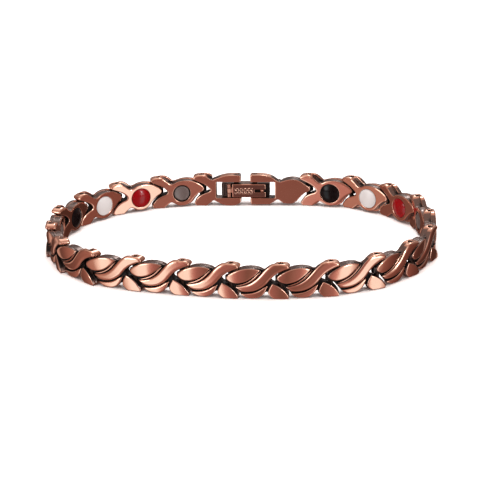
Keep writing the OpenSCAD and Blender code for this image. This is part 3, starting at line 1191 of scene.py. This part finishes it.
def link_stain_and_shade(s: Surface) -> Array:
    """Patina and painted shade on a link: black in the grooves and on closed-in walls, dull on the
    walls, none on the faces.

    Args:
        s: the link's surface.

    Returns:
        The patina and painted shade at each vertex, from 0 to 1.
    """
    u, w, z = s.at.T
    nu, nw, nz = s.normal.T
    flat, from_pin = np.abs(nw), np.hypot(u, w)
    crest = ease(flat, 0.55, 0.85) * ((w > BAND.ground + 0.32) | (w < 0.1 - BAND.half))
    wall = 1 - ease(flat, 0.42, 0.80)
    # Wear clears the walls at the top edge and at the arms' ends
    rubbed = np.maximum(ease(z, 6.35, 6.75) * ease(nz, -0.2, 0.3), ease(u, 10.9, 11.3))
    sunk = ease(nw, 0.2, 0.6) * (w < BAND.ground + 0.12) * (w > -0.3)
    sunk = sunk * (1 - ease(u, 8.8, 9.4) * (z > 4.4))
    # Walls inside the fork, and those of the nose that it takes: near-black, partly patina and
    # partly painted shade where the neighbouring link closes them in
    facing = ease(nu + nz * np.sign(3.6 - z), 0.2, 0.6)
    fork = ease(u, 7.3, 7.6) * (1 - ease(u, 10.6, 11.2)) * facing
    joint = wall * np.maximum(0.88 * fork, 0.75 * (1 - ease(u, 0.9, 1.8)))
    # The hollow beside the nose pin's barrel: near-black, partly patina and partly painted shade
    # under the neighbouring link's fork
    pocket = (from_pin < BAND.knuckle_r + 0.02) * (u < -0.25) * (w < 0.3)
    dark = np.maximum(0.92 * sunk, 0.9 * pocket * ease(from_pin, 0.9, 1.0))
    # The more a spot is closed in by the link's own walls, the darker: patina in the hollows, and
    # painted shade
    stain_and_shade = ease(s.shut, 0.22, 0.56) * (1 - 0.85 * crest)
    return np.maximum.reduce([stain_and_shade, 0.5 * wall * (1 - rubbed), joint, dark])


@dataclass
class Band:
    """The twenty links and their inserts.

    Attributes:
        casting: builds the links' fields.
        chain: says where each link stands.
        copper: material of the links.
        sizes: sizes of the band.
        step: distance between samples of a link's field.
        keep: share of a link's faces that stays.
    """

    casting: Casting
    chain: Chain
    copper: Material
    sizes: BandSizes = BAND
    step: float = 0.075
    keep: float = 0.37

    def template(self, recess_r: float) -> Mesh:
        """A link's mesh in its own frame, with a recess of the given radius."""
        g = self.casting.grid(self.step)
        return cast("link", g, self.casting.link(g, recess_r), self.keep, link_stain_and_shade, inwards=True)

    def build(self) -> None:
        """Adds every link and insert."""
        narrow = self.template(self.sizes.magnet_recess_r)
        wide = self.template(self.sizes.bead_r + self.sizes.gap)
        inserts = {kind: (self.insert(kind), INSERTS[kind].build()) for kind in Insert}
        for n in range(1, LINKS + 1):
            kind = Insert.of_link(n)
            place = self.chain.place(n)
            link = narrow if kind is Insert.MAGNET else wide
            piece(f"cast_link_{n:02d}", link, place, self.copper, "bracelet",
                  [f"link_{n:02d}"])
            name = f"{kind.value}_{n:02d}"
            mesh, finish = inserts[kind]
            piece(f"set_{name}", mesh, place, finish, "bracelet", [name])

    def insert(self, kind: Insert) -> Mesh:
        """Turns an insert of one kind.

        Args:
            kind: the kind.

        Returns:
            Its mesh in the link's own frame.
        """
        s = self.sizes
        bottom = s.half - s.recess_depth + s.gap
        if kind is Insert.MAGNET:
            # A rounded edge, and a face that lies 0.02 lower inside its rim
            r, top = s.magnet_r, s.half - s.magnet_down
            rows = [(0, bottom), (r, bottom), (r, top - 0.12), (r - 0.05, top - 0.04),
                    (r - 0.13, top), (r - 0.3, top), (r - 0.34, top - 0.02), (0, top - 0.02)]
        else:
            r, rise = s.bead_r, s.bead_rise
            ball = (r * r + rise * rise) / (2 * rise)
            rows = [(0, bottom), (r, bottom), (r, s.half - 0.05)]
            for k in range(12):
                a = math.asin(r / ball) * (1 - k / 12)
                rows.append((ball * math.sin(a), s.half + rise - ball + ball * math.cos(a)))
            rows.append((0, s.half + rise))
        verts, faces = lathe(rows)
        u, z = s.insert_at
        mesh = mesh_of(kind.value, verts + np.array([u, 0, z]), faces)
        mesh.set_sharp_from_angle(angle=math.radians(40))
        return mesh


@dataclass
class Clasp:
    """The fold-over clasp: two end links, the outer plate and the folding leaf.

    Attributes:
        casting: builds the end links' fields.
        copper: material of the end links and the leaf.
        dark: material of the plate.
        sizes: sizes of the clasp.
        step: distance between samples of an end link's field.
        keep: share of an end link's faces that stays.
    """

    casting: Casting
    copper: Material
    dark: Material
    sizes: ClaspSizes = CLASP
    step: float = 0.085
    keep: float = 0.5

    def build(self) -> None:
        """Adds the clasp's pieces."""
        s = self.sizes
        x, y = s.middle
        fork_x, nose_x = x - s.span / 2 + BAND.pitch, x + s.span / 2
        for end, at, far in (("fork", fork_x, 11.65), ("nose", nose_x, 12.95)):
            g = self.casting.grid(self.step, far)
            form = self.casting.fork_link(g) if end == "fork" else self.casting.nose_link(g)
            mesh = cast(end, g, form, self.keep, link_stain_and_shade, inwards=True)
            piece(f"cast_clasp_{end}_link", mesh, placing(at, y, math.pi), self.copper,
                  "bracelet", [f"clasp_{end}_link"])
        fork_pin, nose_pin = fork_x - s.fork_pin_u, nose_x - s.nose_pin_u
        middle = (fork_pin + nose_pin) / 2
        place = placing(middle, y, 0.0)
        low, high = s.low - 0.15, s.high + 0.15
        g = Grid((-5.3, -1.7, low), (5.5, BAND.half + 0.25, high), 0.07)
        form = self.plate(g, fork_pin - middle, nose_pin - middle)
        mesh = cast("plate", g, form, 0.4, self.plate_stain_and_shade)
        piece("cast_clasp_plate", mesh, place, self.dark, "bracelet",
              ["clasp_plate"])
        g = Grid((-4.2, s.leaf_w - 0.15, low), (4.7, -0.3, high), 0.055)
        mesh = cast("leaf", g, self.leaf(g), 0.5, self.leaf_stain_and_shade, reach=0.6)
        piece("cast_clasp_leaf", mesh, place, self.copper, "leaf", ["clasp_leaf"])

    def plate(self, g: Grid, fork_pin: float, nose_pin: float) -> Array:
        """Field of the outer plate, which holds both pins.

        Args:
            g: the grid.
            fork_pin: u of the fork link's pin.
            nose_pin: u of the nose link's pin.

        Returns:
            The field.
        """
        s = self.sizes
        start, end = s.plate_u
        mid, r = s.leaf_mid_z, BAND.bore_r
        bar = g.box((start, -s.plate_in, s.low), (end, BAND.half + 0.1, s.high), 0.3)
        ears = [g.barrel(s.hinge, s.hinge_r, span, 0.08)
                for span in ((s.low, s.low + s.third), (s.high - s.third, s.high))]
        catch = g.box((s.catch_u[0], s.catch_w[0], mid - s.catch_h / 2),
                      (s.catch_u[1], s.catch_w[1], mid + s.catch_h / 2), 0.2)
        u, w = s.bump
        bump = np.sqrt((g.u - u) ** 2 + (g.w - w) ** 2 + (g.z - mid) ** 2) - s.bump_r
        solid = np.minimum.reduce([bar, *ears, catch, bump])
        for u in s.rib_u:
            rib = g.box((u - s.rib_half, -s.plate_in - 1, s.low + 0.15),
                        (u + s.rib_half, s.rib_deep - s.plate_in, s.high - 0.15), 0.04)
            solid = round_max(solid, -rib, 0.05)
        # The fork link's pin lies in an open groove, the nose link's in a bore
        mouth = g.box((fork_pin - r, -3, 0), (fork_pin + r, 0, 8), 0.02)
        for cut in (np.minimum(g.post(fork_pin, 0, r), mouth), g.post(nose_pin, 0, r)):
            solid = round_max(solid, -cut, 0.06)
        # Room for the leaf's own knuckle
        gap = np.abs(g.z - mid) - (s.leaf_h / 2 - s.third)
        return np.maximum(solid, -np.maximum(g.post(*s.hinge, s.hinge_r + 0.1), gap))

    def leaf(self, g: Grid) -> Array:
        """Field of the folding leaf, with a plain diamond hatch on its face.

        Args:
            g: the grid.

        Returns:
            The field.
        """
        s = self.sizes
        face, mid, half = s.leaf_w, s.leaf_mid_z, s.third / 2
        start, end = s.leaf_u
        bar = g.box((start, face, s.low), (end, face + s.leaf_t, s.high), 0.24)
        bar = np.maximum(bar, face + s.hatch_deep * self.hatch(g.u, g.z) - g.w)
        barrel = g.barrel(s.hinge, s.hinge_r, (mid - half, mid + half), 0.08)
        web = g.box((s.hinge[0], face + 0.28, mid - half),
                    (start + 0.25, face + s.leaf_t, mid + half), 0.06)
        slot = g.box((s.leaf_slot_u, -4, mid - s.leaf_slot_h / 2),
                     (6, 4, mid + s.leaf_slot_h / 2), 0.1)
        solid = round_max(np.minimum.reduce([bar, barrel, web]), -slot, 0.08)
        return round_max(solid, -g.post(*s.hinge, s.hinge_bore_r), 0.04)

    def hatch(self, u: Array, z: Array) -> Array:
        """Depth, from 0 to 1, of the plain diamond hatch on the leaf.

        Args:
            u: first coordinates.
            z: second coordinates.

        Returns:
            The depth at each point.
        """
        s = self.sizes
        one = np.abs(np.sin((u + z) * math.pi / s.hatch_step))
        two = np.abs(np.sin((u - z) * math.pi / s.hatch_step))
        area = np.maximum(np.abs(u - s.hatch_at[0]) - s.hatch_half[0],
                          np.abs(z - s.hatch_at[1]) - s.hatch_half[1])
        return np.clip(-area / 0.12, 0, 1) * np.clip(1 - np.minimum(one, two) / 0.55, 0, 1)

    def plate_stain_and_shade(self, s: Surface) -> Array:
        """Patina on the plate, which only its outer face and its hinge have lost, with painted
        shade where it is closed in.

        Args:
            s: the plate's surface.

        Returns:
            The patina and painted shade at each vertex, from 0 to 1.
        """
        size = self.sizes
        u, w, z = s.at.T
        stain_and_shade = 0.96 * (1 - ease(w, 0.9, 1.2))
        stain_and_shade = np.where(np.abs(s.normal[:, 2]) > 0.7, np.minimum(stain_and_shade, 0.44), stain_and_shade)
        ribs = (u < size.rib_u[-1] + 0.18) & (w < size.rib_deep - size.plate_in + 0.02)
        stain_and_shade = np.where(ribs, 0.5, stain_and_shade)
        ears = (np.abs(u - size.hinge[0]) < size.hinge_r + 0.08) & (w < -0.72)
        away = (u - size.bump[0]) ** 2 + (w - size.bump[1]) ** 2 + (z - size.leaf_mid_z) ** 2
        bright = ears | (away < (size.bump_r + 0.12) ** 2)
        # Closed-in spots darken further as painted shade
        return np.where(bright, 0.0, np.maximum(stain_and_shade, ease(s.shut, 0.3, 0.6)))

    def leaf_stain_and_shade(self, s: Surface) -> Array:
        """Patina on the leaf: in its hatch and slot, and a haze on its face, with painted shade
        where it is closed in.

        Args:
            s: the leaf's surface.

        Returns:
            The patina and painted shade at each vertex, from 0 to 1.
        """
        u, w, z = s.at.T
        haze = 0.31 * ease(np.abs(s.normal[:, 1]), 0.85, 0.98) * (u > -2.6)
        cut = 0.85 * ease(self.hatch(u, z), 0.25, 0.7) * (w < -1.0)
        # Closed-in spots darken: patina in the hollows, and painted shade
        return np.maximum.reduce([haze, cut, ease(s.shut, 0.2, 0.55)])


@dataclass(frozen=True)
class Pins:
    """The upright pins, which stay the CAD solids."""

    nodes: tuple[str, ...] = ("hinge_pins", "clasp_pins", "leaf_hinge_pin")

    def dress(self, frame: dict, steel: Material) -> None:
        """Gives the pins their material.

        Args:
            frame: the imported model.
            steel: the material.
        """
        for name in self.nodes:
            mesh = frame["nodes"][name].data
            mesh.materials.clear()
            mesh.materials.append(steel)
            LOG.info("%s: CAD solid, dressed", name)


# Studio


@dataclass(frozen=True)
class View:
    """The photograph's viewpoint.

    Attributes:
        azimuth: degrees to the right of straight in front.
        height: degrees above the horizon.
        away: distance to the aim point, mm.
        roll: turn of the camera about its own axis, radians.
        pixels: focal length in pixels of a frame 480 wide.
        aim: the point that the middle of the frame looks at, mm.
        sensor: width of the camera's sensor, mm.
    """

    azimuth: float = 4.544
    height: float = 20.389
    away: float = 336.6
    roll: float = -0.025
    pixels: float = 1723.3
    aim: Place = (0.893, -14.79, 7.0)
    sensor: float = 36.0

    def build(self) -> None:
        """Adds the camera and makes it the scene's."""
        lens = bpy.data.cameras.new("camera")
        lens.sensor_fit = "HORIZONTAL"
        lens.sensor_width = self.sensor
        lens.lens = self.sensor * self.pixels / 480
        lens.clip_start = 0.01
        lens.clip_end = 20.0
        thing = in_scene("camera", lens)
        a, e = math.radians(self.azimuth), math.radians(self.height)
        ahead = Vector((-math.sin(a) * math.cos(e), math.cos(a) * math.cos(e), -math.sin(e)))
        level = Vector((math.cos(a), math.sin(a), 0.0))
        upright = level.cross(ahead)
        c, s = math.cos(self.roll), math.sin(self.roll)
        right, up = level * c + upright * s, upright * c - level * s
        spot = (Vector(self.aim) - ahead * self.away) * MM
        turn = Matrix((right, up, -ahead)).transposed().to_4x4()
        thing.matrix_world = Matrix.Translation(spot) @ turn
        bpy.context.scene.camera = thing


@dataclass(frozen=True)
class Card:
    """A light card in the world, which the tops of the links mirror.

    Attributes:
        towards: direction of the card, from the bracelet.
        full: angle from that direction within which all of it shows, in degrees.
        none: angle from which nothing of it shows.
        colour: its colour.
        power: its light, as a multiple of that of the round.
    """

    towards: Place
    full: float
    none: float
    colour: str
    power: float = 1.0


@dataclass(frozen=True)
class SoftBox:
    """A round soft box that looks at the middle of the bracelet.

    Attributes:
        name: its name.
        spot: where it hangs, m.
        size: its diameter, m.
        power: its power, W.
        mirrored: whether polished metal mirrors it.
    """

    name: str
    spot: Place
    size: float
    power: float
    mirrored: bool = True

    def build(self) -> None:
        """Hangs the box."""
        lamp = bpy.data.lights.new(self.name, "AREA")
        lamp.shape = "DISK"
        lamp.size = self.size
        lamp.energy = self.power
        thing = in_scene(self.name, lamp)
        thing.location = self.spot
        thing.rotation_euler = (-Vector(self.spot)).to_track_quat("-Z", "Y").to_euler()
        thing.visible_glossy = self.mirrored


class Studio:
    """Pale floor, soft boxes and the round of light and dark that metal mirrors."""

    # Degrees round the horizon, from -Y towards +X, and the colour seen there
    ROUND: list[tuple[float, str]] = [
        (0, "#735751"), (4, "#755851"), (12, "#84655F"), (24, "#956F6C"), (33, "#C39A94"),
        (40, "#F2F8FA"), (56, "#F2F8FA"), (66, "#B39A94"), (78, "#7D5750"), (94, "#67453F"),
        (118, "#45302B"), (140, "#47302B"), (146, "#A88E85"), (155, "#A88E85"),
        (163, "#4A332D"), (180, "#523A33"), (222, "#543B34"), (229, "#B79C92"),
        (241, "#B79C92"), (248, "#5C423C"), (258, "#6E4F49"), (278, "#946E66"),
        (298, "#A5857C"), (306, "#DCD3D0"), (313, "#F2F8FA"), (329, "#F2F8FA"),
        (333, "#D0BAB6"), (337, "#B08683"), (343, "#936A67"), (351, "#85625E"),
        (356, "#7C5B56"), (360, "#735751"),
    ]
    BEHIND = "#8A7B78"
    ABOVE = "#B79F97"
    BELOW = "#8A6660"
    CARDS: list[Card] = [
        Card((-0.060, 0.640, 0.766), 11, 20, "#EDE6E4"),
        Card((0.082, 0.942, 0.326), 3, 13, "#B9AFAC"),
        Card((0.082, 0.784, 0.616), 3, 7, "#F4F4F6", 6.0),
    ]
    GLOW = 1.32
    BOXES: list[SoftBox] = [
        SoftBox("top_box", (0.0, 0.02, 0.55), 0.55, 4.4, mirrored=False),
        SoftBox("left_box", (-0.68, -0.68, 0.26), 0.42, 1.1),
        SoftBox("right_box", (0.74, -0.65, 0.14), 0.36, 0.7),
        SoftBox("key_box", (0.678, -0.632, 0.375), 0.16, 0.75),
    ]
    PAPER = "#FBFAF9"
    # Half the floor's width, and how far it lies under the bracelet, m
    FLOOR_HALF, FLOOR_DOWN = 2.0, 0.00002

    def build(self) -> None:
        """Adds the floor, the world and the boxes."""
        self.add_floor()
        self.add_world()
        for box in self.BOXES:
            box.build()

    def add_floor(self) -> None:
        """Adds the pale floor, which the metal doesn't mirror."""
        corner = np.array([(-1, -1, 0), (1, -1, 0), (1, 1, 0), (-1, 1, 0)])
        mesh = mesh_of("floor", corner * self.FLOOR_HALF, [(0, 1, 2, 3)], False)
        made, tree, shader = blank("white_paper")
        feed(tree, shader, {
            "Base Color": linear(self.PAPER), "Roughness": 0.9, "Specular IOR Level": 0.1})
        mesh.materials.append(made)
        thing = in_scene("floor", mesh)
        thing.location.z = -self.FLOOR_DOWN
        thing.visible_glossy = False

    def add_world(self) -> None:
        """Builds the world: the round, then the plain fields and the cards over it."""
        world = bpy.data.worlds.new("studio")
        world.use_nodes = True
        bpy.context.scene.world = world
        tree = world.node_tree
        tree.nodes.clear()
        way = add(tree, "ShaderNodeTexCoord").outputs["Generated"]
        split = add(tree, "ShaderNodeSeparateXYZ", Vector=way).outputs
        back = add(tree, "ShaderNodeMath", {"operation": "MULTIPLY"}, {0: split["Y"], 1: -1.0})
        turn = add(tree, "ShaderNodeMath", {"operation": "ARCTAN2"},
                   {0: split["X"], 1: back.outputs[0]})
        part = add(tree, "ShaderNodeMapRange", {"clamp": False}, Value=turn.outputs[0],
                   From_Min=0.0, From_Max=2 * math.pi)
        wrap = add(tree, "ShaderNodeMath", {"operation": "FRACT"}, {0: part.outputs[0]})
        ring = add(tree, "ShaderNodeValToRGB", Fac=wrap.outputs[0])
        stops = ring.color_ramp.elements
        stops.remove(stops[-1])
        stops[0].color = linear(self.ROUND[0][1])
        for degrees, colour in self.ROUND[1:]:
            stops.new(degrees / 360).color = linear(colour)
        mixed = ring.outputs["Color"]
        for share, colour in self.shares(tree, way, split):
            mixed = add(tree, "ShaderNodeMix", COLOURS, Factor=share, A=mixed,
                        B=colour).outputs["Result"]
        glow = add(tree, "ShaderNodeBackground", Color=mixed, Strength=self.GLOW)
        add(tree, "ShaderNodeOutputWorld", Surface=glow.outputs["Background"])

    def shares(
        self, tree: NodeTree, way: NodeSocket, split: NodeOutputs,
    ) -> list[tuple[NodeSocket, Colour]]:
        """Adds what says how much of each field and card shows in a direction.

        Args:
            tree: the world's node tree.
            way: the direction.
            split: its X, Y and Z.

        Returns:
            The share and the colour of each, from the lowest layer up.
        """
        edges = [
            (split["Y"], -0.1, 0.5), (split["Z"], -0.05, 0.30), (split["Z"], 0.50, 0.88),
            (split["Z"], -0.60, -0.85),
        ]
        colours = [linear(self.ABOVE), linear(self.BELOW)]
        for card in self.CARDS:
            near = add(tree, "ShaderNodeVectorMath", {"operation": "DOT_PRODUCT"},
                       {0: way, 1: card.towards})
            none, full = [math.cos(math.radians(a)) for a in (card.none, card.full)]
            edges.append((near.outputs["Value"], none, full))
            colours.append(linear(card.colour, card.power))
        far, raised, *shown = [
            add(tree, "ShaderNodeMapRange", SMOOTH, Value=value, From_Min=none,
                From_Max=full).outputs[0]
            for value, none, full in edges
        ]
        behind = add(tree, "ShaderNodeMath", {"operation": "MULTIPLY"}, {0: far, 1: raised})
        return [(behind.outputs[0], linear(self.BEHIND)), *zip(shown, colours)]


def main() -> None:
    """Builds the scene."""
    logging.basicConfig(level=logging.INFO, format="%(name)s: %(message)s")
    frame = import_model()
    bpy.context.scene.view_settings.view_transform = "Standard"
    View().build()
    Studio().build()
    copper = COPPER.build()
    casting = Casting()
    Band(casting, Chain(BAND, CLASP), copper).build()
    Clasp(casting, copper, DARK_COPPER.build()).build()
    Pins().dress(frame, PIN.build())


if __name__ == "__main__":
    main()
